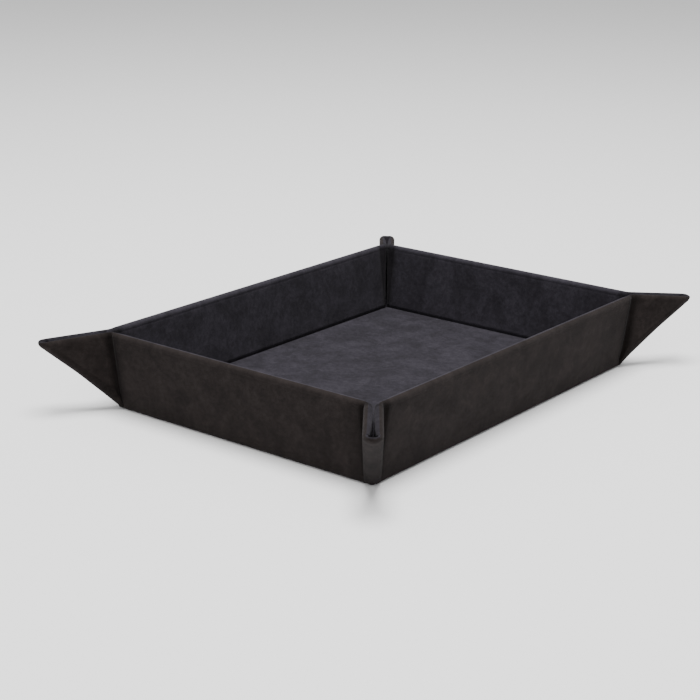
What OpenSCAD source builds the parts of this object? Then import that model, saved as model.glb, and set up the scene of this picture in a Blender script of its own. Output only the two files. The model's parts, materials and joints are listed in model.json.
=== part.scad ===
// Folding dice tray: one soft sheet over stiff boards, four walls folded up and each corner
// pinched outwards into a double ear that small magnets hold shut.
// Origin: centre of the base's underside. +X along the long side, +Y across, +Z up.

/* [Tray] */
// Length between the creases that the short walls fold on
crease_l = 206; // [150:1:300]
// Width between the creases that the long walls fold on
crease_w = 148; // [110:1:220]
// Height of a wall along its slope, from its crease to the rim
wall_h = 36.4; // [28:0.1:50]
// How far each wall leans outwards from upright, in degrees
lean = 7.5; // [5:0.5:12]

/* [Sheet] */
// Thickness of the outer fabric
cover_t = 0.9; // [0.5:0.1:1.5]
// Thickness of the stiff boards between the two fabrics
board_t = 2.2; // [2.1:0.1:3]
// Thickness of the inner fabric
lining_t = 0.9; // [0.5:0.1:1.5]
// Width of fabric turned round the edge of each board
turn_in = 1; // [0.6:0.1:2]

/* [Creases] */
// Setback of base and walls from a base crease
base_gap = 2; // [1.8:0.1:4]
// Setback of a wall's end from the corner post line
post_gap = 2.5; // [2:0.1:5]
// Setback of an ear layer from the corner post line
ear_gap = 3; // [2.5:0.1:5]
// Setback of an ear layer from the diagonal fold
diag_gap = 4; // [3:0.1:6]
// Space between the two layers of an ear, at the post
layer_gap = 0.4; // [0.3:0.1:2]
// How far each ear layer turns away from the ear's middle plane, in degrees
ear_open = 0.7; // [0:0.1:4]
// Direction of each ear, as an angle from the long side, in degrees
ear_dir = 37; // [34:1:56]
// Length that is cut off the ear's point
tip_cut = 2.4; // [1:0.1:6]

/* [Magnets] */
// Diameter of a disc magnet
magnet_d = 10; // [6:0.5:12]
// Thickness of a disc magnet
magnet_t = 2; // [1:0.1:2.1]
// Distance of a magnet from the post line, along the rim
magnet_u = 12; // [10:0.5:14]
// Height of a magnet from the base crease, along the post
magnet_v = 27.5; // [26:0.5:30]

/* [Hidden] */
sheet_t = cover_t + board_t + lining_t;
mid = sheet_t / 2;
half_l = crease_l / 2;
half_w = crease_w / 2;
base_l = crease_l - 2 * base_gap;
base_w = crease_w - 2 * base_gap;
long_l = crease_l - 2 * post_gap;
short_l = crease_w - 2 * post_gap;
slack = 0.05;
diag_in = diag_gap * sqrt(2);
inset_k = 1 + sqrt(2);
droop = atan(tan(lean) * (sin(ear_dir) + cos(ear_dir)) / 2);
layer_d = mid + layer_gap / 2;
turn_v = layer_d / (sin(lean) * cos(ear_dir));
post_v0 = 5;
fold_v0 = 9.5;
seam_gap = 0.2;
fabric_color = [0.16, 0.15, 0.15];
lining_color = [0.22, 0.21, 0.23];
board_color = [0.55, 0.52, 0.46];
magnet_color = [0.75, 0.75, 0.77];
$fn = 64;

// Distance from an ear's middle plane to the middle of one layer: u along the rim, v up the post
function layer_off(u, v) =
  layer_d + (u * cos(droop) + (v - turn_v) * sin(droop)) * sin(ear_open);

// ---- Sheet layers, drawn in a panel's own frame ----
// X along the crease or rim, Y away from the base crease, Z towards the outer fabric,
// with the middle of the sheet's thickness at Z = 0.

module rect_cover(l, y0, y1) {
  difference() {
    translate([-l / 2, y0, -board_t / 2])
      cube([l, y1 - y0, board_t + cover_t]);
    translate([-l / 2 + turn_in, y0 + turn_in, -board_t])
      cube([l - 2 * turn_in, y1 - y0 - 2 * turn_in, 1.5 * board_t]);
  }
}

module rect_board(l, y0, y1) {
  in = turn_in + slack;
  translate([-l / 2 + in, y0 + in, -board_t / 2])
    cube([l - 2 * in, y1 - y0 - 2 * in, board_t]);
}

module rect_lining(l, y0, y1) {
  translate([-l / 2, y0, -mid])
    cube([l, y1 - y0, lining_t]);
}

// Right triangle of one ear layer: its legs lie along the post and the rim
module ear_outline(in) {
  polygon([
    [ear_gap + in, ear_gap + diag_in + in * inset_k],
    [ear_gap + in, wall_h - in],
    [wall_h - diag_in - in * inset_k, wall_h - in]
  ]);
}

module ear_cover() {
  difference() {
    translate([0, 0, -board_t / 2])
      linear_extrude(board_t + cover_t)
        ear_outline(0);
    translate([0, 0, -board_t])
      linear_extrude(1.5 * board_t)
        ear_outline(turn_in);
  }
}

module ear_board() {
  difference() {
    translate([0, 0, -board_t / 2])
      linear_extrude(board_t)
        ear_outline(turn_in + slack);
    translate([magnet_u, magnet_v, -board_t])
      cylinder(d = magnet_d + 2 * slack, h = 2 * board_t);
  }
}

module ear_lining() {
  translate([0, 0, -mid])
    linear_extrude(lining_t)
      ear_outline(0);
}

module ear_magnet() {
  translate([magnet_u, magnet_v, -magnet_t / 2])
    cylinder(d = magnet_d, h = magnet_t);
}

// ---- Places: each puts a panel's own frame where it stands with the tray set up ----

module on_base() {
  translate([0, 0, mid])
    rotate([180, 0, 0])
      children();
}

module on_front() {
  translate([0, -half_w, mid])
    rotate([90 + lean, 0, 0])
      children();
}

module on_back() {
  mirror([0, 1, 0])
    on_front()
      children();
}

module on_right() {
  rotate([0, 0, 90])
    translate([0, -half_l, mid])
      rotate([90 + lean, 0, 0])
        children();
}

module on_left() {
  mirror([1, 0, 0])
    on_right()
      children();
}

// Middle plane of the front right ear: X out along the rim, Y up the post
module ear_plane() {
  translate([half_l, -half_w, mid])
    rotate([0, 0, -ear_dir])
      rotate([0, droop, 0])
        rotate([90, 0, 0])
          children();
}

// The ear layer that carries on from the long wall, at the front right corner
module long_layer() {
  translate([half_l, -half_w - turn_v * sin(lean), mid + turn_v * cos(lean)])
    rotate([0, 0, -ear_dir - ear_open])
      rotate([0, droop, 0])
        rotate([90, 0, 0])
          translate([0, -turn_v, 0])
            children();
}

// Mirror image in the ear's middle plane: the layer that carries on from the short wall
module short_layer() {
  translate([half_l, -half_w, 0])
    mirror([sin(ear_dir), cos(ear_dir), 0])
      translate([-half_l, half_w, 0])
        long_layer()
          children();
}

module to_fl() {
  mirror([1, 0, 0])
    children();
}

module to_br() {
  mirror([0, 1, 0])
    children();
}

module to_bl() {
  rotate([0, 0, 180])
    children();
}

// ---- Creases: both fabrics with no board between them ----

module base_crease(l, crease_y) {
  translate([-l / 2, -crease_y, mid])
    rotate([90, 0, 90])
      linear_extrude(l) {
        circle(r = mid);
        translate([0, -mid])
          square([base_gap, sheet_t]);
        rotate(90 + lean)
          translate([0, -mid])
            square([base_gap, sheet_t]);
      }
}

module post_long() {
  intersection() {
    union() {
      on_front()
        translate([half_l - post_gap, post_v0, -mid])
          cube([post_gap, wall_h - post_v0, sheet_t]);
      on_front()
        translate([half_l, post_v0, 0])
          rotate([-90, 0, 0])
            cylinder(r = mid, h = wall_h - post_v0);
      long_layer()
        translate([0, post_v0, -mid])
          cube([ear_gap, wall_h - post_v0, sheet_t]);
    }
    ear_plane()
      translate([-20, -10, layer_gap / 2])
        cube([80, 80, 20]);
    on_front()
      translate([half_l - post_gap, -10, -20])
        cube([60, 80, 40]);
    long_layer()
      translate([ear_gap - 60, -10, -20])
        cube([60, 80, 40]);
  }
}

module post_short() {
  intersection() {
    union() {
      on_right()
        translate([-half_w, post_v0, -mid])
          cube([post_gap, wall_h - post_v0, sheet_t]);
      on_right()
        translate([-half_w, post_v0, 0])
          rotate([-90, 0, 0])
            cylinder(r = mid, h = wall_h - post_v0);
      short_layer()
        translate([0, post_v0, -mid])
          cube([ear_gap, wall_h - post_v0, sheet_t]);
    }
    ear_plane()
      translate([-20, -10, -20 - layer_gap / 2])
        cube([80, 80, 20]);
    on_right()
      translate([post_gap - half_w - 60, -10, -20])
        cube([60, 80, 40]);
    short_layer()
      translate([ear_gap - 60, -10, -20])
        cube([60, 80, 40]);
  }
}

module corner_post() {
  post_long();
  post_short();
}

// Rounded loop that joins the two layers of an ear along the diagonal
module ear_fold() {
  ear_plane()
    intersection() {
      translate([-diag_in / 2, diag_in / 2, 0])
        rotate([0, 0, 45])
          rotate([0, 90, 0])
            half_loop(
              layer_off(-diag_in / 2, diag_in / 2),
              layer_off(wall_h - diag_in / 2, wall_h + diag_in / 2)
            );
      translate([-20, fold_v0, -20])
        cube([20 + wall_h - tip_cut, wall_h - fold_v0, 40]);
    }
}

module half_loop(r0, r1) {
  run = wall_h * sqrt(2);
  difference() {
    cylinder(r1 = r0 + mid, r2 = r1 + mid, h = run);
    cylinder(r1 = r0 - mid, r2 = r1 - mid, h = run);
    translate([-20, -seam_gap, -1])
      cube([40, 20, run + 2]);
  }
}

// ---- Pieces ----

module base_cover() {
  color(fabric_color)
    on_base()
      rect_cover(base_l, -base_w / 2, base_w / 2);
}

module base_board() {
  color(board_color)
    on_base()
      rect_board(base_l, -base_w / 2, base_w / 2);
}

module base_lining() {
  color(lining_color)
    on_base()
      rect_lining(base_l, -base_w / 2, base_w / 2);
}

module wall_front_cover() {
  color(fabric_color)
    on_front()
      rect_cover(long_l, base_gap, wall_h);
}

module wall_front_board() {
  color(board_color)
    on_front()
      rect_board(long_l, base_gap, wall_h);
}

module wall_front_lining() {
  color(lining_color)
    on_front()
      rect_lining(long_l, base_gap, wall_h);
}

module wall_back_cover() {
  color(fabric_color)
    on_back()
      rect_cover(long_l, base_gap, wall_h);
}

module wall_back_board() {
  color(board_color)
    on_back()
      rect_board(long_l, base_gap, wall_h);
}

module wall_back_lining() {
  color(lining_color)
    on_back()
      rect_lining(long_l, base_gap, wall_h);
}

module wall_left_cover() {
  color(fabric_color)
    on_left()
      rect_cover(short_l, base_gap, wall_h);
}

module wall_left_board() {
  color(board_color)
    on_left()
      rect_board(short_l, base_gap, wall_h);
}

module wall_left_lining() {
  color(lining_color)
    on_left()
      rect_lining(short_l, base_gap, wall_h);
}

module wall_right_cover() {
  color(fabric_color)
    on_right()
      rect_cover(short_l, base_gap, wall_h);
}

module wall_right_board() {
  color(board_color)
    on_right()
      rect_board(short_l, base_gap, wall_h);
}

module wall_right_lining() {
  color(lining_color)
    on_right()
      rect_lining(short_l, base_gap, wall_h);
}

module ear_fr_long_cover() {
  color(fabric_color)
    long_layer()
      ear_cover();
}

module ear_fr_long_board() {
  color(board_color)
    long_layer()
      ear_board();
}

module ear_fr_long_lining() {
  color(lining_color)
    long_layer()
      ear_lining();
}

module ear_fr_long_magnet() {
  color(magnet_color)
    long_layer()
      ear_magnet();
}

module ear_fr_short_cover() {
  color(fabric_color)
    short_layer()
      ear_cover();
}

module ear_fr_short_board() {
  color(board_color)
    short_layer()
      ear_board();
}

module ear_fr_short_lining() {
  color(lining_color)
    short_layer()
      ear_lining();
}

module ear_fr_short_magnet() {
  color(magnet_color)
    short_layer()
      ear_magnet();
}

module ear_fl_long_cover() {
  color(fabric_color)
    to_fl()
      long_layer()
        ear_cover();
}

module ear_fl_long_board() {
  color(board_color)
    to_fl()
      long_layer()
        ear_board();
}

module ear_fl_long_lining() {
  color(lining_color)
    to_fl()
      long_layer()
        ear_lining();
}

module ear_fl_long_magnet() {
  color(magnet_color)
    to_fl()
      long_layer()
        ear_magnet();
}

module ear_fl_short_cover() {
  color(fabric_color)
    to_fl()
      short_layer()
        ear_cover();
}

module ear_fl_short_board() {
  color(board_color)
    to_fl()
      short_layer()
        ear_board();
}

module ear_fl_short_lining() {
  color(lining_color)
    to_fl()
      short_layer()
        ear_lining();
}

module ear_fl_short_magnet() {
  color(magnet_color)
    to_fl()
      short_layer()
        ear_magnet();
}

module ear_br_long_cover() {
  color(fabric_color)
    to_br()
      long_layer()
        ear_cover();
}

module ear_br_long_board() {
  color(board_color)
    to_br()
      long_layer()
        ear_board();
}

module ear_br_long_lining() {
  color(lining_color)
    to_br()
      long_layer()
        ear_lining();
}

module ear_br_long_magnet() {
  color(magnet_color)
    to_br()
      long_layer()
        ear_magnet();
}

module ear_br_short_cover() {
  color(fabric_color)
    to_br()
      short_layer()
        ear_cover();
}

module ear_br_short_board() {
  color(board_color)
    to_br()
      short_layer()
        ear_board();
}

module ear_br_short_lining() {
  color(lining_color)
    to_br()
      short_layer()
        ear_lining();
}

module ear_br_short_magnet() {
  color(magnet_color)
    to_br()
      short_layer()
        ear_magnet();
}

module ear_bl_long_cover() {
  color(fabric_color)
    to_bl()
      long_layer()
        ear_cover();
}

module ear_bl_long_board() {
  color(board_color)
    to_bl()
      long_layer()
        ear_board();
}

module ear_bl_long_lining() {
  color(lining_color)
    to_bl()
      long_layer()
        ear_lining();
}

module ear_bl_long_magnet() {
  color(magnet_color)
    to_bl()
      long_layer()
        ear_magnet();
}

module ear_bl_short_cover() {
  color(fabric_color)
    to_bl()
      short_layer()
        ear_cover();
}

module ear_bl_short_board() {
  color(board_color)
    to_bl()
      short_layer()
        ear_board();
}

module ear_bl_short_lining() {
  color(lining_color)
    to_bl()
      short_layer()
        ear_lining();
}

module ear_bl_short_magnet() {
  color(magnet_color)
    to_bl()
      short_layer()
        ear_magnet();
}

module crease_front() {
  color(fabric_color)
    base_crease(long_l, half_w);
}

module crease_back() {
  color(fabric_color)
    mirror([0, 1, 0])
      base_crease(long_l, half_w);
}

module crease_right() {
  color(fabric_color)
    rotate([0, 0, 90])
      base_crease(short_l, half_l);
}

module crease_left() {
  color(fabric_color)
    rotate([0, 0, -90])
      base_crease(short_l, half_l);
}

module fold_fr() {
  color(fabric_color)
    ear_fold();
}

module fold_fl() {
  color(fabric_color)
    to_fl()
      ear_fold();
}

module fold_br() {
  color(fabric_color)
    to_br()
      ear_fold();
}

module fold_bl() {
  color(fabric_color)
    to_bl()
      ear_fold();
}

module post_fr() {
  color(fabric_color)
    corner_post();
}

module post_fl() {
  color(fabric_color)
    to_fl()
      corner_post();
}

module post_br() {
  color(fabric_color)
    to_br()
      corner_post();
}

module post_bl() {
  color(fabric_color)
    to_bl()
      corner_post();
}

base_cover();
base_board();
base_lining();
wall_front_cover();
wall_front_board();
wall_front_lining();
wall_back_cover();
wall_back_board();
wall_back_lining();
wall_left_cover();
wall_left_board();
wall_left_lining();
wall_right_cover();
wall_right_board();
wall_right_lining();
ear_fr_long_cover();
ear_fr_long_board();
ear_fr_long_lining();
ear_fr_long_magnet();
ear_fr_short_cover();
ear_fr_short_board();
ear_fr_short_lining();
ear_fr_short_magnet();
ear_fl_long_cover();
ear_fl_long_board();
ear_fl_long_lining();
ear_fl_long_magnet();
ear_fl_short_cover();
ear_fl_short_board();
ear_fl_short_lining();
ear_fl_short_magnet();
ear_br_long_cover();
ear_br_long_board();
ear_br_long_lining();
ear_br_long_magnet();
ear_br_short_cover();
ear_br_short_board();
ear_br_short_lining();
ear_br_short_magnet();
ear_bl_long_cover();
ear_bl_long_board();
ear_bl_long_lining();
ear_bl_long_magnet();
ear_bl_short_cover();
ear_bl_short_board();
ear_bl_short_lining();
ear_bl_short_magnet();
crease_front();
crease_back();
crease_right();
crease_left();
fold_fr();
fold_fl();
fold_br();
fold_bl();
post_fr();
post_fl();
post_br();
post_bl();
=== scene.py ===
"""Folding dice tray: one soft laminated sheet, its four walls folded up and its corners pinched into ears."""
import json
import math

import bmesh
import bpy
import numpy as np
from mathutils import Matrix, Vector


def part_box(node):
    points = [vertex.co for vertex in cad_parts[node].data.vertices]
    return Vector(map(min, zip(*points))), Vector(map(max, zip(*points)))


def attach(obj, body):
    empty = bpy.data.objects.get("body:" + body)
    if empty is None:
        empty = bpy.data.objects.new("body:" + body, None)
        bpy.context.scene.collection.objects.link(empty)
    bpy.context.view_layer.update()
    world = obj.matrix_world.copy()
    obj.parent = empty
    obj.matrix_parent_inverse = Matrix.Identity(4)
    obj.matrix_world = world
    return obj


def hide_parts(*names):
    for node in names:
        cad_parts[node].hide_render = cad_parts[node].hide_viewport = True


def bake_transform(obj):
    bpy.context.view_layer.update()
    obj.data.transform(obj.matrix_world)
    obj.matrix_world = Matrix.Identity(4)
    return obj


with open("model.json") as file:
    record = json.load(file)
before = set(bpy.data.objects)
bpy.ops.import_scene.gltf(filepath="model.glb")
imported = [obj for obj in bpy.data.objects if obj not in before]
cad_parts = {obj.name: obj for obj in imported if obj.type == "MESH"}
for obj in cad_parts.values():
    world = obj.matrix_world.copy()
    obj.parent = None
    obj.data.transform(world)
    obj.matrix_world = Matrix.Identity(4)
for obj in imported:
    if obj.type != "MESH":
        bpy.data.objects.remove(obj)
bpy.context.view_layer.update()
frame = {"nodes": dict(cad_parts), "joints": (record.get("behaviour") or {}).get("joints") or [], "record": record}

MM = 0.001  # everything below is in millimetres until a mesh is made

# ---- Sizes, read from the frame ----


def box_mm(node):
    lo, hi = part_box(node)
    return np.array(lo) / MM, np.array(hi) / MM


JOINTS = {j["name"]: j for j in frame["joints"]}
RATIOS = {c["joint"]: c["ratio"] for c in frame["record"]["behaviour"]["couplings"]}
SHORT_OF_FLAT = 0.5  # degrees that the joint's range stops before the sheet is flat
FULL_TURN = math.radians(JOINTS["front_wall_fold"]["range_deg"][1] + SHORT_OF_FLAT)


def joint_axis(name):
    j = JOINTS[name]
    axis = np.array(j["axis"], float)
    return axis / np.linalg.norm(axis), np.array(j["pos_m"], float) / MM, FULL_TURN * RATIOS.get(name, 1.0)


MID = joint_axis("front_wall_fold")[1][2]  # half the sheet's thickness
HALF_W = -joint_axis("front_wall_fold")[1][1]
HALF_L = -joint_axis("left_wall_fold")[1][0]
LEAN = math.pi / 2 - joint_axis("front_wall_fold")[2]
BASE_GAP = HALF_L - box_mm("base_cover")[1][0]  # from a lower edge's crease line to the boards
WALL_H = (box_mm("wall_front_lining")[1][2] - MID - MID * math.sin(LEAN)) / math.cos(LEAN)
POST_GAP = HALF_L - box_mm("wall_front_cover")[1][0]
EAR_GAP = 3.0  # from the post's crease line to an ear's board
DIAG_GAP = 4.0  # from the fold's crease line to an ear's board
TIP_U = 34.9  # where the rim ends at an ear's tip

DIAG_IN = DIAG_GAP * math.sqrt(2)
LOW_EAR = EAR_GAP + DIAG_IN  # height where an ear layer's stiff part begins
RIM_R = 1.9  # rounding of every free edge
EAR_MID = 1.8  # half thickness of an ear layer, pressed a little thinner than a wall

# ---- Transforms, 4 by 4, in millimetres ----


def rot(axis, angle):
    m = np.eye(4)
    m[:3, :3] = np.array(Matrix.Rotation(angle, 3, Vector(axis)))
    return m


def move(x, y, z):
    m = np.eye(4)
    m[:3, 3] = (x, y, z)
    return m


def turned(joint):
    """The motion that takes a joint's child from its flat place to its rest place."""
    axis, pos, top = joint_axis(joint)
    return move(*pos) @ rot(axis, -top) @ move(*-pos)


def put(m, p):
    p = np.asarray(p, float)
    return p @ m[:3, :3].T + m[:3, 3]


CORNER = np.array([HALF_L, -HALF_W, MID])
ON_FRONT = move(0, -HALF_W, MID) @ rot((1, 0, 0), math.pi / 2 + LEAN)
ON_RIGHT = rot((0, 0, 1), math.pi / 2) @ move(0, -HALF_L, MID) @ rot((1, 0, 0), math.pi / 2 + LEAN)
AT_POST = ON_FRONT @ move(HALF_L, 0, 0)
SWAP = np.eye(4)[[1, 0, 2, 3]]
LONG = turned("ear_fr_turn") @ AT_POST
SHORT = turned("ear_fr_fold") @ LONG @ SWAP


def ear_plane():
    """Middle plane of the front right ear, from two matching points of its layers.

    X points out of the corner, Y up and Z to the long wall's side.
    """
    far, near = (20, 30, 0), (5, 30, 0)
    a, b = put(LONG, far), put(SHORT, far)
    normal = (a - b) / np.linalg.norm(a - b)
    along = a + b - put(LONG, near) - put(SHORT, near)
    along -= normal * (along @ normal)
    along /= np.linalg.norm(along)
    m = np.eye(4)
    m[:3, 0], m[:3, 1], m[:3, 2], m[:3, 3] = along, np.cross(normal, along), normal, CORNER
    return m


PLANE = ear_plane()
PLANE_INV = np.linalg.inv(PLANE)
FLIP = np.diag([1.0, 1.0, -1.0, 1.0])

CORNERS = {
    "fr": np.diag([1.0, 1.0, 1.0, 1.0]),
    "fl": np.diag([-1.0, 1.0, 1.0, 1.0]),
    "br": np.diag([1.0, -1.0, 1.0, 1.0]),
    "bl": np.diag([-1.0, -1.0, 1.0, 1.0]),
}

# ---- Materials ----

WORN = 1.35  # how much paler than the light nap a worn edge is
CREASE_SHADE_TINT = (0.36, 0.35, 0.33)  # painted shade: what is left of the colour where shade is painted into a crease


def node(tree, kind, **values):
    n = tree.nodes.new(kind)
    for key, value in values.items():
        if hasattr(n, key):
            setattr(n, key, value)
        else:
            n.inputs[key].default_value = value
    return n


def ramp(tree, source, stops):
    r = tree.nodes.new("ShaderNodeValToRGB")
    r.color_ramp.interpolation = "EASE"
    while len(r.color_ramp.elements) < len(stops):
        r.color_ramp.elements.new(0.5)
    for e, (at, colour) in zip(r.color_ramp.elements, stops):
        e.position = at
        e.color = (*colour, 1)
    tree.links.new(source, r.inputs["Fac"])
    return r.outputs["Color"]


def grey(value):
    return (value, value, value)


def mixed(tree, blend, fac, a, b):
    m = tree.nodes.new("ShaderNodeMix")
    m.data_type = "RGBA"
    m.blend_type = blend
    for socket, value in ((m.inputs[0], fac), (m.inputs[6], a), (m.inputs[7], b)):
        if isinstance(value, bpy.types.NodeSocket):
            tree.links.new(value, socket)
        elif isinstance(value, tuple):
            socket.default_value = (*value, 1)
        else:
            socket.default_value = value
    return m.outputs[2]


def bumped(tree, bsdf, height, strength, distance):
    bump = node(tree, "ShaderNodeBump", Strength=strength, Distance=distance)
    tree.links.new(height, bump.inputs["Height"])
    tree.links.new(bump.outputs[0], bsdf.inputs["Normal"])


def hard_material(name):
    """A new material with its node tree, its shader and its object coordinates."""
    mat = bpy.data.materials.new(name)
    mat.use_nodes = True
    t = mat.node_tree
    return mat, t, t.nodes["Principled BSDF"], node(t, "ShaderNodeTexCoord").outputs["Object"]


def suede(name, dark, light, brushed):
    """Brushed microfibre: cloudy nap patches, mottling, short fibres and a soft sheen.

    The mesh's edge value is above 0 at a worn, paler edge and below 0 where shade is painted darker into creases,
    folds and the ears' rims.
    """
    mat = bpy.data.materials.new(name)
    mat.use_nodes = True
    t = mat.node_tree
    t.nodes.clear()
    out = node(t, "ShaderNodeOutputMaterial")
    bsdf = node(t, "ShaderNodeBsdfPrincipled")
    t.links.new(bsdf.outputs[0], out.inputs[0])
    flat = node(t, "ShaderNodeAttribute", attribute_name="flat").outputs["Vector"]

    def noise(scale, detail, rough, stretch=(1, 1, 1), distortion=0.0):
        m = node(t, "ShaderNodeMapping")
        m.inputs["Scale"].default_value = stretch
        t.links.new(flat, m.inputs["Vector"])
        n = node(
            t, "ShaderNodeTexNoise", Scale=scale, Detail=detail, Roughness=rough, Distortion=distortion
        )
        t.links.new(m.outputs[0], n.inputs["Vector"])
        return n.outputs["Fac"]

    clouds = noise(0.55, 5.0, 0.62, (1, 1.25, 1), 0.6)
    patches = noise(2.1, 4.0, 0.6, (1, 0.7, 1), 0.35)
    fibres = noise(26.0, 3.0, 0.7, (1, 0.55, 1))
    grain = noise(70.0, 2.0, 0.6)
    base = ramp(t, clouds, [(0.34, dark), (0.66, light)])
    patch = ramp(t, patches, [(0.36, grey(brushed)), (0.66, grey(1.12))])
    base = mixed(t, "MULTIPLY", 0.85, base, patch)
    mottle = noise(5.5, 3.0, 0.6, (1, 0.8, 1), 0.2)
    mottle = ramp(t, mottle, [(0.36, grey(0.86)), (0.64, grey(1.12))])
    base = mixed(t, "MULTIPLY", 0.9, base, mottle)
    nap = ramp(t, fibres, [(0.3, grey(0.78)), (0.7, grey(1.2))])
    base = mixed(t, "MULTIPLY", 0.8, base, nap)
    edge = node(t, "ShaderNodeAttribute", attribute_name="edge").outputs["Fac"]
    worn = node(t, "ShaderNodeMath", operation="MULTIPLY")
    t.links.new(edge, worn.inputs[0])
    t.links.new(patches, worn.inputs[1])
    base = mixed(t, "MIX", worn.outputs[0], base, tuple(WORN * c for c in light))
    # painted shade: a negative edge value darkens the colour towards the crease shade tint
    crease_shade_factor = node(t, "ShaderNodeMath", operation="MULTIPLY", use_clamp=True)
    t.links.new(edge, crease_shade_factor.inputs[0])
    crease_shade_factor.inputs[1].default_value = -1.0
    base = mixed(t, "MULTIPLY", crease_shade_factor.outputs[0], base, CREASE_SHADE_TINT)
    t.links.new(base, bsdf.inputs["Base Color"])
    bsdf.inputs["Roughness"].default_value = 0.93
    bsdf.inputs["Specular IOR Level"].default_value = 0.03
    bsdf.inputs["Sheen Weight"].default_value = 0.04
    bsdf.inputs["Sheen Roughness"].default_value = 0.55
    bsdf.inputs["Sheen Tint"].default_value = (0.86, 0.84, 0.88, 1)
    height = mixed(t, "ADD", 0.55, fibres, grain)
    height = mixed(t, "ADD", 0.5, height, patches)
    bumped(t, bsdf, height, 0.5, 0.00035)
    return mat


def greyboard(name):
    """Pressed board: a warm grey pulp with flecks."""
    mat, t, bsdf, where = hard_material(name)
    pulp = node(t, "ShaderNodeTexNoise", Scale=240.0, Detail=6.0, Roughness=0.7)
    fleck = node(t, "ShaderNodeTexVoronoi", Scale=620.0)
    for n in (pulp, fleck):
        t.links.new(where, n.inputs["Vector"])
    colour = ramp(t, pulp.outputs["Fac"], [(0.3, (0.2, 0.17, 0.13)), (0.7, (0.33, 0.29, 0.23))])
    flecks = ramp(t, fleck.outputs["Distance"], [(0.05, (0.6, 0.57, 0.52)), (0.3, (1, 1, 1))])
    t.links.new(mixed(t, "MULTIPLY", 0.7, colour, flecks), bsdf.inputs["Base Color"])
    bsdf.inputs["Roughness"].default_value = 0.85
    bumped(t, bsdf, pulp.outputs["Fac"], 0.3, 0.0002)
    return mat


def plated(name):
    """Nickel-plated disc with fine turning scratches."""
    mat, t, bsdf, where = hard_material(name)
    scratch = node(t, "ShaderNodeTexNoise", Scale=900.0, Detail=5.0, Roughness=0.75)
    t.links.new(where, scratch.inputs["Vector"])
    colour = ramp(t, scratch.outputs["Fac"], [(0.3, (0.52, 0.52, 0.5)), (0.7, (0.72, 0.71, 0.7))])
    t.links.new(colour, bsdf.inputs["Base Color"])
    rough = node(t, "ShaderNodeMapRange")
    rough.inputs["To Min"].default_value = 0.18
    rough.inputs["To Max"].default_value = 0.42
    t.links.new(scratch.outputs["Fac"], rough.inputs["Value"])
    t.links.new(rough.outputs[0], bsdf.inputs["Roughness"])
    bsdf.inputs["Metallic"].default_value = 1.0
    bumped(t, bsdf, scratch.outputs["Fac"], 0.15, 0.0001)
    return mat


COVER = suede("suede_cover", (0.0126, 0.01, 0.0094), (0.0184, 0.0147, 0.0139), 0.86)
LINING = suede("suede_lining", (0.0208, 0.0189, 0.0234), (0.0302, 0.0275, 0.0343), 0.86)
BOARD = greyboard("pressed_board")
METAL = plated("plated_disc")

# side (1 is the outer fabric, -1 the inner), word in the piece's name, material, slot, CAD ending
FABRICS = (
    (1, "outer", COVER, "cover_fabric", "cover"),
    (-1, "inner", LINING, "lining_fabric", "lining"),
)

for cad_name, obj in frame["nodes"].items():
    obj.data.materials.clear()
    obj.data.materials.append({"board": BOARD, "magnet": METAL}.get(cad_name.rsplit("_", 1)[-1], COVER))

# ---- Meshes from grids ----

WELD = 0.002  # points nearer than this are one
NO_AREA = 1e-7  # metres: faces narrower than this are dropped


class Sheet:
    """Grids of points that make one piece: place in the world, place on the flat sheet, and edge value."""

    def __init__(self):
        self.grids = []

    def add(self, points, flat, edge, flip=False):
        self.grids.append((*(np.asarray(a, float) for a in (points, flat, edge)), flip))

    def cut(self):
        """The flat cut: width and length of the rectangle round it, and its area, in metres."""
        area, low, high = 0.0, [], []
        for _, flat, _, _ in self.grids:
            one, two = flat[1:, 1:] - flat[:-1, :-1], flat[1:, :-1] - flat[:-1, 1:]
            area += 0.5 * abs(one[..., 0] * two[..., 1] - one[..., 1] * two[..., 0]).sum()
            low.append(flat.min((0, 1)))
            high.append(flat.max((0, 1)))
        size = (np.max(high, 0) - np.min(low, 0)) * MM
        return (float(size.min()), float(size.max())), min(float(area) * MM**2, float(size[0] * size[1]))

    def build(self, name, material, mirror=np.eye(4)):
        turned_over = np.linalg.det(mirror[:3, :3]) < 0
        mesh = bpy.data.meshes.new(name)
        bm = bmesh.new()
        flat_layer = bm.verts.layers.float_vector.new("flat")
        edge_layer = bm.verts.layers.float.new("edge")
        for points, flat, edge, flip in self.grids:
            n, m = points.shape[:2]
            world = put(mirror, points.reshape(-1, 3)) * MM
            verts = []
            for p, f, e in zip(world, flat.reshape(-1, 2), edge.reshape(-1)):
                v = bm.verts.new(p)
                v[flat_layer] = Vector((f[0] * mirror[0, 0], f[1] * mirror[1, 1], 0)) / 10
                v[edge_layer] = e
                verts.append(v)
            for i in range(n - 1):
                for j in range(m - 1):
                    a, b = i * m + j, (i + 1) * m + j
                    quad = [verts[a], verts[a + 1], verts[b + 1], verts[b]]
                    if flip != turned_over:
                        quad.reverse()
                    bm.faces.new(quad)
        bmesh.ops.remove_doubles(bm, verts=bm.verts, dist=WELD * MM)
        bmesh.ops.dissolve_degenerate(bm, edges=bm.edges, dist=NO_AREA)
        loose = [v for v in bm.verts if not v.link_faces]
        bmesh.ops.delete(bm, geom=loose, context="VERTS")
        for f in bm.faces:
            f.smooth = True
        bm.to_mesh(mesh)
        bm.free()
        mesh.materials.append(material)
        obj = bpy.data.objects.new(name, mesh)
        bpy.context.scene.collection.objects.link(obj)
        return obj


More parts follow.
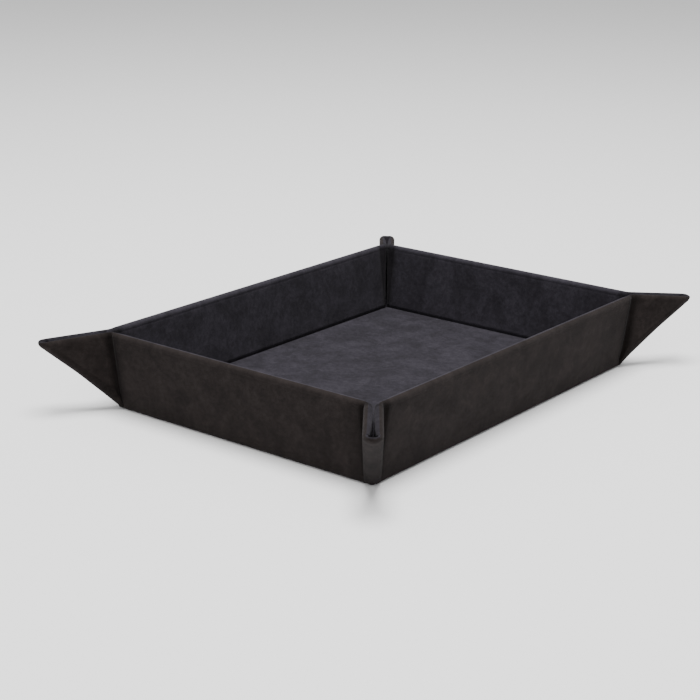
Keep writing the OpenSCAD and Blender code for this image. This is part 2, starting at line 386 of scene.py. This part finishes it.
LINE_AT, LINE_HALF, LINE_DEEP = 2.75, 0.4, 0.045  # the turned-edge line: place, half width, share of depth
CREASE_SHADE = 0.9  # painted shade: edge value in a crease, with its sign turned
VALLEY_STEPS = np.array([0, 0.35, 0.7, 1.1, 1.5, 1.9, 2.3, 2.7, 3.1, 3.6])  # distances from a crease line


def smooth(t):
    t = np.clip(t, 0, 1)
    return t * t * (3 - 2 * t)


def rim(d):
    """Share of the half thickness at distance d from a free edge: round, then a faint turned-edge line."""
    d = np.asarray(d, float)
    x = np.clip(1 - d / RIM_R, 0, 1)
    return np.sqrt(np.clip(1 - x * x, 0, 1)) - LINE_DEEP * np.exp(-(((d - LINE_AT) / LINE_HALF) ** 2))


def rim_edge(d):
    """How worn the nap is at distance d from a free edge, 1 at the edge; on an ear's lining the same falloff
    paints shade at the rim.
    """
    return np.exp(-np.asarray(d, float) / 1.3)


def painted_crease_shade(d, reach):
    """Painted shade at distance d from a crease, to be taken from the edge value."""
    return CREASE_SHADE * np.exp(-np.maximum(d, 0) / reach)


def rim_steps(length, coarse):
    """Distances from a free edge, closest together where the edge rounds over."""
    k = min(1.0, length / 5.0)
    a = np.linspace(0, math.pi / 2, 8)
    near = list(RIM_R * (1 - np.cos(a))) + [2.15, 2.45, 2.75, 3.05, 3.4, 3.9]
    near = [k * x for x in near]
    count = max(2, int(math.ceil((length - near[-1]) / coarse)) + 1)
    return np.array(near + list(np.linspace(near[-1], length, count)[1:]))


def valley(d, reach=3.0):
    """Share of the half thickness on the inner side at distance d from a crease line."""
    return 1 - np.clip(1 - d / reach, 0, 1) ** 1.42


def ease(d):
    """Share of the lining's half thickness at distance d from a corner, where it rounds off into the ear."""
    return 1 - 0.85 * np.clip(1 - d / 7.5, 0, 1) ** 2


def soften(u, v, size, seed):
    """Slight unevenness of the laminated fabric, in millimetres."""
    return size * (
        np.sin(u * 0.061 + seed) * np.cos(v * 0.083 + 1.7 * seed)
        + 0.6 * np.sin(u * 0.137 - v * 0.121 + 2.3 * seed)
        + 0.4 * np.cos(u * 0.21 + v * 0.17 + 0.9 * seed)
    )


def keep(obj, body, slot, *nodes):
    if body:
        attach(obj, body)
    if nodes:
        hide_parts(*nodes)
    return obj


def declare(obj, sheet, board, *strips):
    """obj is fabric glued flat over a board; strips are the narrow bands of the same fabric that join on. obj,
    board and strips are not used; only the sheet's flat cut is worked out.
    """
    sheet.cut()


# ---- Base ----


def corner_cap():
    """The outer fabric rounds each lower corner between two creases and tucks in under the ear's foot."""
    points, flat = [], []
    az = np.radians(np.linspace(-100, 10, 14))
    for a in np.radians([0, 12, 24, 37, 50, 63, 76, 90, 104, 118, 132, 146]):
        out, height = MID * math.sin(a), np.full(len(az), MID - MID * math.cos(a))
        points.append(np.stack([HALF_L + out * np.cos(az), -HALF_W + out * np.sin(az), height], -1))
        flat.append(np.stack([HALF_L + MID * a * np.cos(az), -HALF_W + MID * a * np.sin(az)], -1))
    return np.array(points), np.array(flat)


def base_piece(side):
    """side is 1 for the outer fabric underneath and -1 for the lining on top."""
    if side > 0:
        xs = np.linspace(-HALF_L + BASE_GAP, HALF_L - BASE_GAP, 61)
        ys = np.linspace(-HALF_W + BASE_GAP, HALF_W - BASE_GAP, 45)
        x, y = np.meshgrid(xs, ys, indexing="ij")
        away = np.minimum(HALF_L - BASE_GAP - abs(x), HALF_W - BASE_GAP - abs(y))
        height = 0.12 * smooth(away / 25) * (0.5 + 0.5 * np.sin(x * 0.05) * np.cos(y * 0.06))
    else:
        near = np.append(VALLEY_STEPS, [4.5, 6.5])
        xs, ys = (
            np.concatenate([near - half, np.linspace(10 - half, half - 10, count), (half - near)[::-1]])
            for half, count in ((HALF_L, 56), (HALF_W, 40))
        )
        x, y = np.meshgrid(xs, ys, indexing="ij")
        share = valley(HALF_L - abs(x)) * valley(HALF_W - abs(y))
        away = np.minimum(HALF_L - abs(x), HALF_W - abs(y))
        height = MID + MID * share + soften(x, y, 0.09, 0.4) * smooth((away - 4) / 18)
    s = Sheet()
    s.add(np.stack([x, y, height], -1), np.stack([x, y], -1), np.zeros_like(x), flip=side > 0)
    if side > 0:
        for mirror in CORNERS.values():
            points, flat = corner_cap()
            turned_over = np.linalg.det(mirror[:3, :3]) < 0
            flat = flat * [mirror[0, 0], mirror[1, 1]]
            s.add(put(mirror, points), flat, np.zeros(points.shape[:2]), flip=turned_over)
    return s


for side, word, mat, slot, cad in FABRICS:
    s = base_piece(side)
    obj = keep(s.build(f"base_{word}_fabric", mat), "base", slot, f"base_{cad}")
    declare(obj, s, "base_board")

# ---- Walls ----


def foot(v):
    """How far an ear layer has opened out at height v: its border runs in to the corner at its foot."""
    return np.clip(np.asarray(v, float) / LOW_EAR, 0, 1)


def post_rows(wall_frame, ear_frame, side, vs, across, sink_from=None):
    """Soft fabric between a wall's end and an ear layer: across runs from 0 at the wall to 1 at the ear.

    sink_from names the half that this is a part of, "ear" or "wall": its free end sinks under the other half.
    """
    share = rim(WALL_H - vs)
    if side < 0:
        share = share * valley(vs)
    ear_u, ear_half = EAR_GAP * foot(vs), EAR_MID * (0.8 + 0.2 * foot(vs))
    wall_half = MID * (ease(POST_GAP) if side < 0 else 1.0)
    first = put(wall_frame, np.stack([np.full_like(vs, -POST_GAP), vs, side * wall_half * share], -1))
    last = put(ear_frame, np.stack([ear_u, vs, side * ear_half * share], -1))
    gap = np.linalg.norm(last - first, axis=1)[:, None] * (0.4 if side < 0 else 0.34)
    second, third = first + wall_frame[:3, 0] * gap, last - ear_frame[:3, 0] * gap
    inwards = -side * (wall_frame[:3, 2] + ear_frame[:3, 2])
    inwards /= np.linalg.norm(inwards)
    rows = []
    for r in across:
        p = (1 - r) ** 3 * first + 3 * r * (1 - r) ** 2 * second + 3 * r * r * (1 - r) * third + r**3 * last
        deep = 0.8 * math.sin(math.pi * r) ** 2 if side > 0 else 0.0
        if sink_from is not None:
            deep += 0.16 * float(smooth((r - 0.5) * (1 if sink_from == "ear" else -1) / 0.3))
        p = p + inwards * (deep * share)[:, None]
        if 0 < r < 1:
            local = put(PLANE_INV, p)
            own = 1 if ear_frame is LONG else -1
            local[:, 2] = own * np.maximum(own * local[:, 2], 0.1)
            p = put(PLANE, local)
        rows.append(p)
    return np.array(rows)


def post_flat(vs, across, swap):
    """The same fabric on the flat sheet; swap is for the short wall's side of the corner."""
    rows = []
    for r in across:
        u = -POST_GAP + (EAR_GAP * foot(vs) + POST_GAP) * r
        rows.append(np.stack([HALF_L + vs, -HALF_W - u] if swap else [HALF_L + u, -HALF_W - vs], -1))
    return np.array(rows)


WALL_PART = np.linspace(0, 0.68, 9)  # the two halves of an open post, which overlap
EAR_PART = np.linspace(0.32, 1, 9)
AT_SIDE_POST = ON_RIGHT @ move(-HALF_W, 0, 0) @ np.diag([-1.0, 1.0, 1.0, 1.0])


def wall_rows(side):
    """Heights of a wall's rows of points, from the rim down."""
    if side > 0:
        return WALL_H - rim_steps(WALL_H - BASE_GAP, 3.2)
    return np.concatenate([WALL_H - rim_steps(WALL_H - 5.0, 3.2), VALLEY_STEPS[::-1]])


def wall_piece(place, half, long_wall, side, flat_of, seed):
    """place puts the wall's own frame; half is half the crease length; side 1 is the outer fabric."""
    ends = half - POST_GAP
    near = np.array([0, 0.7, 1.4, 2.2, 3.1, 4.1])
    us = np.concatenate([-ends + near, np.linspace(-ends + 6, ends - 6, 44), (ends - near)[::-1]])
    vs = wall_rows(side)
    u, v = np.meshgrid(us, vs, indexing="ij")
    share = rim(WALL_H - v)
    if side < 0:
        share = share * valley(v) * ease(half - abs(u))
    inner = smooth((half - 8 - abs(u)) / 20) * smooth((v - 4) / 8) * smooth((WALL_H - 5 - v) / 8)
    w = side * (MID * share + soften(u, v, 0.1, seed) * inner)
    s = Sheet()
    # worn paler at the rim; painted shade darkens the wall's ends towards the post creases
    edge = rim_edge(WALL_H - v) - painted_crease_shade(ends - abs(u), 1.5)
    s.add(put(place, np.stack([u, v, w], -1)), flat_of(u, v), edge, flip=side < 0)
    if not long_wall:
        rows = post_rows(AT_SIDE_POST, SHORT, side, vs, WALL_PART, "ear")
        flat = post_flat(vs, WALL_PART, True)
        # worn paler at the rim; painted shade darkens the whole post crease strip
        edge = np.tile(rim_edge(WALL_H - vs) - CREASE_SHADE, (len(WALL_PART), 1))
        s.add(rows, flat, edge, flip=side > 0)
        s.add(put(CORNERS["br"], rows), flat * [1, -1], edge, flip=side < 0)
    return s


def flat_front(u, v):
    return np.stack([u, -HALF_W - v], -1)


def flat_right(u, v):
    return np.stack([HALF_L + v, u], -1)


WALLS = {
    "wall_front": (ON_FRONT, HALF_L, True, flat_front, "fr"),
    "wall_back": (ON_FRONT, HALF_L, True, flat_front, "br"),
    "wall_right": (ON_RIGHT, HALF_W, False, flat_right, "fr"),
    "wall_left": (ON_RIGHT, HALF_W, False, flat_right, "fl"),
}
for number, (wall, (place, half, long_wall, flat_of, mirror)) in enumerate(WALLS.items()):
    for side, word, mat, slot, cad in FABRICS:
        piece = wall_piece(place, half, long_wall, side, flat_of, number + 0.3 * side)
        obj = keep(piece.build(f"{wall}_{word}_fabric", mat, CORNERS[mirror]), wall, slot, f"{wall}_{cad}")
        creases = [f"crease_{wall[5:]}_fabric"] if side > 0 else []
        declare(obj, piece, f"{wall}_board", *creases)

# ---- Base creases: the outer fabric bends round each lower edge ----


def crease_piece(half, flat_of):
    """Cross-section from the base's underside, round the crease line, to the foot of the wall."""
    turn = math.pi / 2 - LEAN
    section = [(t, -MID, t) for t in (BASE_GAP, 1.3, 0.6)]
    section += [(-MID * math.sin(a), -MID * math.cos(a), -MID * a * 0.7) for a in np.linspace(0, turn, 9)]
    s, c = math.sin(turn), math.cos(turn)
    section += [(-MID * s - t * c, -MID * c + t * s, -2.2 - t) for t in (0.6, 1.3, BASE_GAP)]
    section = np.array(section)
    n = 44
    points, flats = [], []
    for inward, up, run in section:
        end = half - max(inward, 0)
        us = np.linspace(-end, end, n)
        y = np.full(n, -HALF_W + inward) if half == HALF_L else np.full(n, -HALF_L + inward)
        points.append(np.stack([us, y, np.full(n, MID + up)], -1))
        flats.append(flat_of(us, np.full(n, -run)))
    return np.array(points), np.array(flats)


for name, half, wall, mirror, quarter, flat_of in (
    ("crease_front", HALF_L, "wall_front", "fr", 0, flat_front),
    ("crease_back", HALF_L, "wall_back", "br", 0, flat_front),
    ("crease_right", HALF_W, "wall_right", "fr", 1, flat_right),
    ("crease_left", HALF_W, "wall_left", "fl", 1, flat_right),
):
    points, flats = crease_piece(half, flat_of)
    m = rot((0, 0, 1), quarter * math.pi / 2)
    s = Sheet()
    s.add(put(m, points), flats, np.zeros(points.shape[:2]))
    obj = s.build(f"{name}_fabric", COVER, CORNERS[mirror])
    ends = put(CORNERS[mirror], put(m, points[[0, -1], 20])) * MM  # any column does: the next line centres it
    ends[:, 1 if quarter else 0] = 0
    keep(obj, None, "cover_fabric", name)
    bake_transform(obj)

# ---- Ears ----

RIM_D = rim_steps(WALL_H - DIAG_IN - EAR_GAP, 2.2)  # distances from the rim, for the layers and the fold
U_END = WALL_H - DIAG_IN


def lining_half(c):
    """Half thickness of a layer's inner side beside the fold: less near the tip, where it opens out."""
    return EAR_MID - 0.5 * smooth((c - 16) / 12)


def ear_layer(place, side, swap):
    """The stiff part of one ear layer, a right triangle between post, rim and fold.

    Its lining closes on the other layer's.
    """
    n = 26
    cols, flats, edges = [], [], []
    for d0 in RIM_D:
        u, length = U_END - d0, d0
        dist = np.zeros(n)
        if length > 0.01:
            dist = rim_steps(length, 2.0)
            dist = np.interp(np.linspace(0, 1, n), np.linspace(0, 1, len(dist)), dist)
        v = WALL_H - dist
        us = np.full(n, u)
        w = EAR_MID * rim(dist)
        if side < 0:
            away = put(PLANE_INV, put(LONG, np.stack([us, v, np.zeros(n)], -1)))[:, 2]
            shut = smooth((us - EAR_GAP) / 4) * smooth((v - us - DIAG_IN) / 5)
            shut = shut * (1 - smooth((us - 11) / 11)) * smooth(dist / 2.5)
            w = w + shut * (away - EAR_MID - 0.06)
            near_fold = 1 - smooth((v - us - DIAG_IN) / 6)
            w = w - near_fold * rim(dist) * (EAR_MID - lining_half((us + v) / 2))
        cols.append(np.stack([us, v, side * w], -1))
        flats.append(np.stack([HALF_L + v, -HALF_W - us] if swap else [HALF_L + us, -HALF_W - v], -1))
        # outer layer worn paler at the rim; the lining's rim gets painted shade, and painted crease shade runs
        # along the post
        edges.append((0.25 if side > 0 else -0.4) * rim_edge(dist) - painted_crease_shade(us - EAR_GAP, 1.3))
    return put(place, np.array(cols)), np.array(flats), np.array(edges)


def ear_heights():
    """Heights of an ear post's rows, from the rim down to the ear's foot."""
    steps = rim_steps(WALL_H - LOW_EAR, 2.0)
    dist = np.interp(np.linspace(0, 1, 26), np.linspace(0, 1, len(steps)), steps)
    return np.concatenate([WALL_H - dist, [7.6, 6.5, 5.4, 4.3, 3.3, 2.4, 1.5, 0.7]])


LOOP_ANGLES = np.radians([0, 8, 18, 29, 40, 51, 61, 70, 78, 83, 86, 88, 89.2, 90])
BELOW_RIM_D = np.array([1.3, 2.6, 3.8, 4.8, 5.5, 5.9, 6.2, 6.45, 6.6])  # further down, round the ear's foot
LOOP_DEEP = 1.72  # how far the outer fabric's loop stands out past the layers' borders, at most
LOOP_BULGE = 0.85  # how far the inner fabric bulges open in the tip


def fold_section(side):
    """Half of the fold's loop, from the long layer to the fold line.

    Rows run along the loop and columns down from the rim.
    """
    low_d = np.concatenate([RIM_D, RIM_D[-1] + BELOW_RIM_D])
    a0 = DIAG_IN / 2
    rows, flats, edges = [], [], []
    for angle in LOOP_ANGLES:
        row, flat, edge = [], [], []
        s, c = math.sin(angle), math.cos(angle)
        for d in low_d:
            c0 = WALL_H - a0 - d  # place along the fold line of the layer's border
            t = min(max(c0, 0.0) / (EAR_GAP + a0), 1.0)
            u, v = (c0 - a0, c0 + a0) if t >= 1 else (EAR_GAP * t, LOW_EAR * t)
            half = EAR_MID * (0.8 + 0.2 * t)
            outer = put(PLANE_INV, put(LONG, (u, v, half)))
            inner = put(PLANE_INV, put(LONG, (u, v, -half if t < 1 else -float(lining_half(c0)))))
            along = (outer[0] + outer[1]) / 2 + min(c0, 0.0)
            round_off = math.sqrt(1 - 0.96 * min(max(-c0 / 0.78, 0.0), 1.0) ** 2)
            q0 = (outer[0] - outer[1]) / math.sqrt(2)
            q_out = 0.1 + 0.085 * max(20 - c0, 0.0) ** 2 / (max(20 - c0, 0.0) + 1.5)
            q_out = min(q_out, LOOP_DEEP) * round_off
            q_in = -0.8 - 1.8 * float(smooth((c0 - 16) / 12))
            bulge = LOOP_BULGE * float(smooth((c0 - 8) / 20))
            qo, no = q0 + (q_out - q0) * s, outer[2] * c * round_off
            qi = q0 + (q_in - q0) * s
            ni = inner[2] * c + bulge * math.sin(2 * angle)
            share = float(rim(d)) if d < 6 else 1.0
            qm, nm = (qo + qi) / 2, (no + ni) / 2
            q = qm + (qo - qm) * share if side > 0 else qm + (qi - qm) * share
            n = nm + (no - nm) * share if side > 0 else nm + (ni - nm) * share
            a = -qm / math.sqrt(2)
            level, slant = WALL_H - a, (TIP_U + 0.6 * WALL_H + 0.4 * a) / 1.6
            top = -math.log(math.exp(2.5 * (30 - level)) + math.exp(2.5 * (30 - slant))) / 2.5 + 30
            at = along + (top - (WALL_H - a0)) * float(smooth(1 - d / 12.0))
            row.append((at + q / math.sqrt(2), at - q / math.sqrt(2), n))
            flat.append((HALF_L + at - max(a, 0), -HALF_W - at - max(a, 0)))
            # painted shade: the outer loop darker below the rim, the inner fabric darker towards the fold line
            edge.append(-0.4 * float(smooth((d - 2) / 6)) if side > 0 else -0.8 * s)
        rows.append(row)
        flats.append(flat)
        edges.append(edge)
    return np.array(rows), np.array(flats), np.array(edges)


def fold_piece(side):
    rows, flats, edges = fold_section(side)
    half = put(PLANE, rows)
    other = put(PLANE @ FLIP, rows)
    mirrored = np.stack([HALF_L - (flats[..., 1] + HALF_W), -HALF_W - (flats[..., 0] - HALF_L)], -1)
    points = np.concatenate([half, other[::-1][1:]])
    flat = np.concatenate([flats, mirrored[::-1][1:]])
    edge = np.concatenate([edges, edges[::-1][1:]])
    s = Sheet()
    s.add(points, flat, edge, flip=side < 0)
    return s


def post_piece(side):
    """The crease between the long wall and the ear's long layer: sheet, blend direction and its limits."""
    vs = ear_heights()
    across = np.linspace(0, 1, 13)
    rows = post_rows(AT_POST, LONG, side, vs, across)
    s = Sheet()
    # worn paler at the rim; painted shade darkens the whole post crease strip
    edge = np.tile(rim_edge(WALL_H - vs) - CREASE_SHADE, (len(across), 1))
    s.add(rows, post_flat(vs, across, False), edge, flip=side < 0)
    d = np.cross(AT_POST[:3, 1], LONG[:3, 1])
    d /= np.linalg.norm(d)
    start = max((rows[0] @ d).max(), (put(AT_POST, (-POST_GAP, 0, 0)) @ d))
    end = (rows[-1][vs >= LOW_EAR - 1e-6] @ d).min()
    return s, d, start, end


for c, mirror in CORNERS.items():
    long_body, short_body = f"ear_{c}_long", f"ear_{c}_short"
    for side, word, mat, slot, cad in FABRICS:
        s = Sheet()
        s.add(*ear_layer(LONG, side, False), flip=side > 0)
        obj = keep(s.build(f"{long_body}_{word}_fabric", mat, mirror), long_body, slot, f"{long_body}_{cad}")
        declare(obj, s, f"{long_body}_board", f"post_{c}_{word}_fabric", f"fold_{c}_{word}_fabric")

        s = Sheet()
        s.add(*ear_layer(SHORT, side, True), flip=side < 0)
        vs = ear_heights()
        rows = post_rows(AT_SIDE_POST, SHORT, side, vs, EAR_PART, "wall")
        # a little worn paler at the rim; painted shade darkens the whole post crease strip
        edge = np.tile(0.4 * rim_edge(WALL_H - vs) - CREASE_SHADE, (len(EAR_PART), 1))
        s.add(rows, post_flat(vs, EAR_PART, True), edge, flip=side > 0)
        obj = s.build(f"{short_body}_{word}_fabric", mat, mirror)
        keep(obj, short_body, slot, f"{short_body}_{cad}")
        declare(obj, s, f"{short_body}_board")

        s = fold_piece(side)
        obj = s.build(f"fold_{c}_{word}_fabric", mat, mirror)
        keep(obj, None, slot, *([f"fold_{c}"] if side > 0 else []))
        reach = 2.1 if side > 0 else 0.3
        start = put(mirror, put(PLANE, (0, 0, reach))) * MM
        end = put(mirror, put(PLANE, (0, 0, -reach))) * MM
        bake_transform(obj)

        s, d, start, end = post_piece(side)
        obj = s.build(f"post_{c}_{word}_fabric", mat, mirror)
        keep(obj, None, slot, *([f"post_{c}"] if side > 0 else []))
        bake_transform(obj)

# ---- Studio: pale floor, soft light, camera ----


def studio():
    mat = bpy.data.materials.new("pale_floor")
    mat.use_nodes = True
    bsdf = mat.node_tree.nodes["Principled BSDF"]
    bsdf.inputs["Base Color"].default_value = (0.93, 0.93, 0.93, 1)
    bsdf.inputs["Roughness"].default_value = 0.9
    bsdf.inputs["Specular IOR Level"].default_value = 0.1
    mesh = bpy.data.meshes.new("floor")
    mesh.from_pydata([(-6, -6, 0), (6, -6, 0), (6, 6, 0), (-6, 6, 0)], [], [(0, 1, 2, 3)])
    mesh.materials.append(mat)
    floor = bpy.data.objects.new("floor", mesh)
    floor.location.z = -0.0002
    bpy.context.scene.collection.objects.link(floor)

    world = bpy.data.worlds.new("studio")
    world.use_nodes = True
    world.node_tree.nodes["Background"].inputs[0].default_value = (1, 1, 1, 1)
    world.node_tree.nodes["Background"].inputs[1].default_value = 0.6
    bpy.context.scene.world = world

    def area(name, place, aim, size, power):
        light = bpy.data.lights.new(name, "AREA")
        light.shape = "DISK"
        light.size = size
        light.energy = power
        obj = bpy.data.objects.new(name, light)
        obj.location = place
        obj.rotation_euler = (Vector(aim) - Vector(place)).to_track_quat("-Z", "Y").to_euler()
        bpy.context.scene.collection.objects.link(obj)

    area("key", (-0.05, -0.05, 1.4), (0, 0, 0), 0.8, 34)
    area("fill", (-1.1, -0.55, 0.7), (0, 0, 0), 0.9, 4.5)


def camera():
    """The photograph's viewing angle, fitted to the tray's corners: azimuth from +X, and tilt down."""
    azimuth, down, roll = math.radians(37.96), math.radians(18.486), 0.0116
    target = np.array([12.905, 28.977, 0.0])
    distance = 826.97
    level = np.array([math.cos(azimuth), math.sin(azimuth), 0])
    forward = np.array([*(math.cos(down) * level[:2]), -math.sin(down)])
    right = np.array([math.sin(azimuth), -math.cos(azimuth), 0])
    up = np.cross(right, forward)
    right, up = right * math.cos(roll) + up * math.sin(roll), up * math.cos(roll) - right * math.sin(roll)
    data = bpy.data.cameras.new("camera")
    data.sensor_width = 36
    data.lens = 83.81
    data.shift_y = 0.024
    data.clip_start, data.clip_end = 0.05, 20
    cam = bpy.data.objects.new("camera", data)
    m = Matrix.Identity(4)
    for i in range(3):
        m[i][0], m[i][1], m[i][2] = right[i], up[i], -forward[i]
        m[i][3] = (target - forward * distance)[i] * MM
    cam.matrix_world = m
    bpy.context.scene.collection.objects.link(cam)
    bpy.context.scene.camera = cam


studio()
camera()

bpy.context.view_layer.update()
